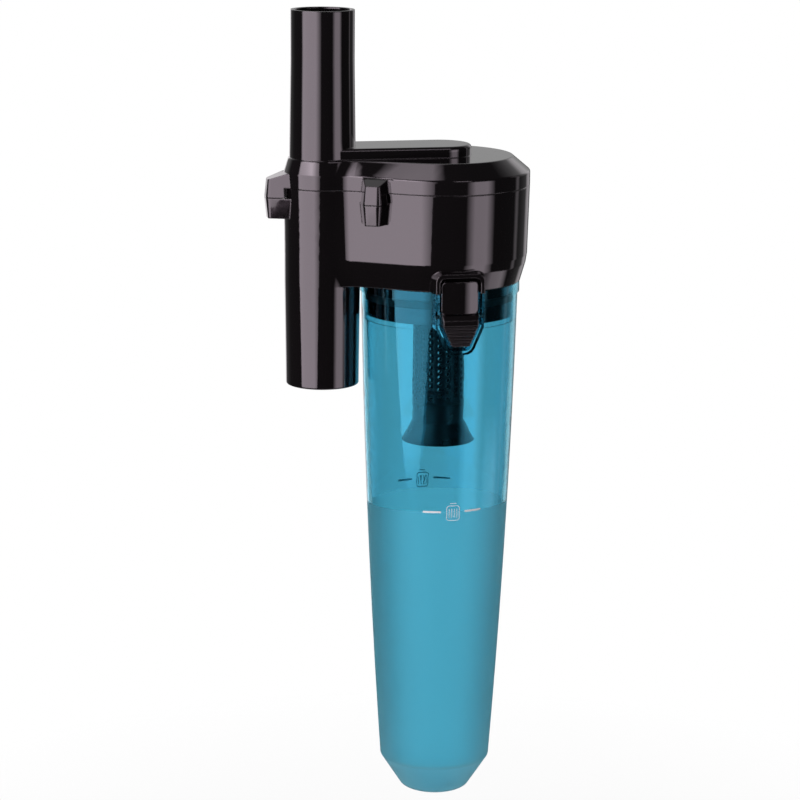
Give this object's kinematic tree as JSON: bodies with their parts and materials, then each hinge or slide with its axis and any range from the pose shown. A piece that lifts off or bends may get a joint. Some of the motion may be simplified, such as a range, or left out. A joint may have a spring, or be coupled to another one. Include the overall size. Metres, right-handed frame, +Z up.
{
  "type": "vacuum cyclone separator",
  "caption": "Bagless cyclone separator for a stick vacuum: black head with spigot and wand socket, clear tapered dust case on rocker latches, perforated twist-off filter inside.",
  "frame": {"origin": "centre of the spigot's mouth, at the top of the part", "axes": "+Z up along the spigot and the wand socket, +X from their axis to the axis of the dust case, -Y the side of the picture"},
  "size_m": [0.1358, 0.0984, 0.412],
  "materials": {
    "head_black": "polished black moulding",
    "inner_black": "plain black moulding",
    "case_blue": "clear blue above, frosted below",
    "seal_rubber": "soft black rubber",
    "screw_steel": "zinc plated",
    "pin_steel": "bright drawn wire"
  },
  "bodies": {
    "head": {"cover": "head_black", "housing": "head_black", "duct_plate": "inner_black", "cover_gasket": "seal_rubber", "duct_gasket": "seal_rubber", "case_seal": "seal_rubber", "cover_screws": "screw_steel", "plate_screws": "screw_steel"},
    "filter": {"filter_tube": "inner_black", "filter_cone": "inner_black", "filter_seal": "seal_rubber"},
    "case": {"dust_case": "case_blue", "latch_pin_front": "pin_steel", "latch_pin_rear": "pin_steel", "latch_spring_front": "pin_steel", "latch_spring_rear": "pin_steel"},
    "latch_front": {"latch_front": "head_black"},
    "latch_rear": {"latch_rear": "head_black"}
  },
  "joints": [
    {"name": "case_slide", "type": "slide", "parent": "head", "child": "case", "axis": [0, 0, -1], "range_m": [0, 0.095]},
    {"name": "filter_twist", "type": "hinge", "parent": "head", "child": "filter", "pos_m": [0.061, 0, -0.15], "axis": [0, 0, 1], "range_deg": [0, 20]},
    {"name": "latch_front_rock", "type": "hinge", "parent": "case", "child": "latch_front", "pos_m": [0.061, -0.0434, -0.14875], "axis": [1, 0, 0], "range_deg": [0, 8], "stiffness_Nm_per_rad": 0.2, "springref_deg": -5.73},
    {"name": "latch_rear_rock", "type": "hinge", "parent": "case", "child": "latch_rear", "pos_m": [0.061, 0.0434, -0.14875], "axis": [-1, 0, 0], "range_deg": [0, 8], "stiffness_Nm_per_rad": 0.2, "springref_deg": -5.73}
  ]
}
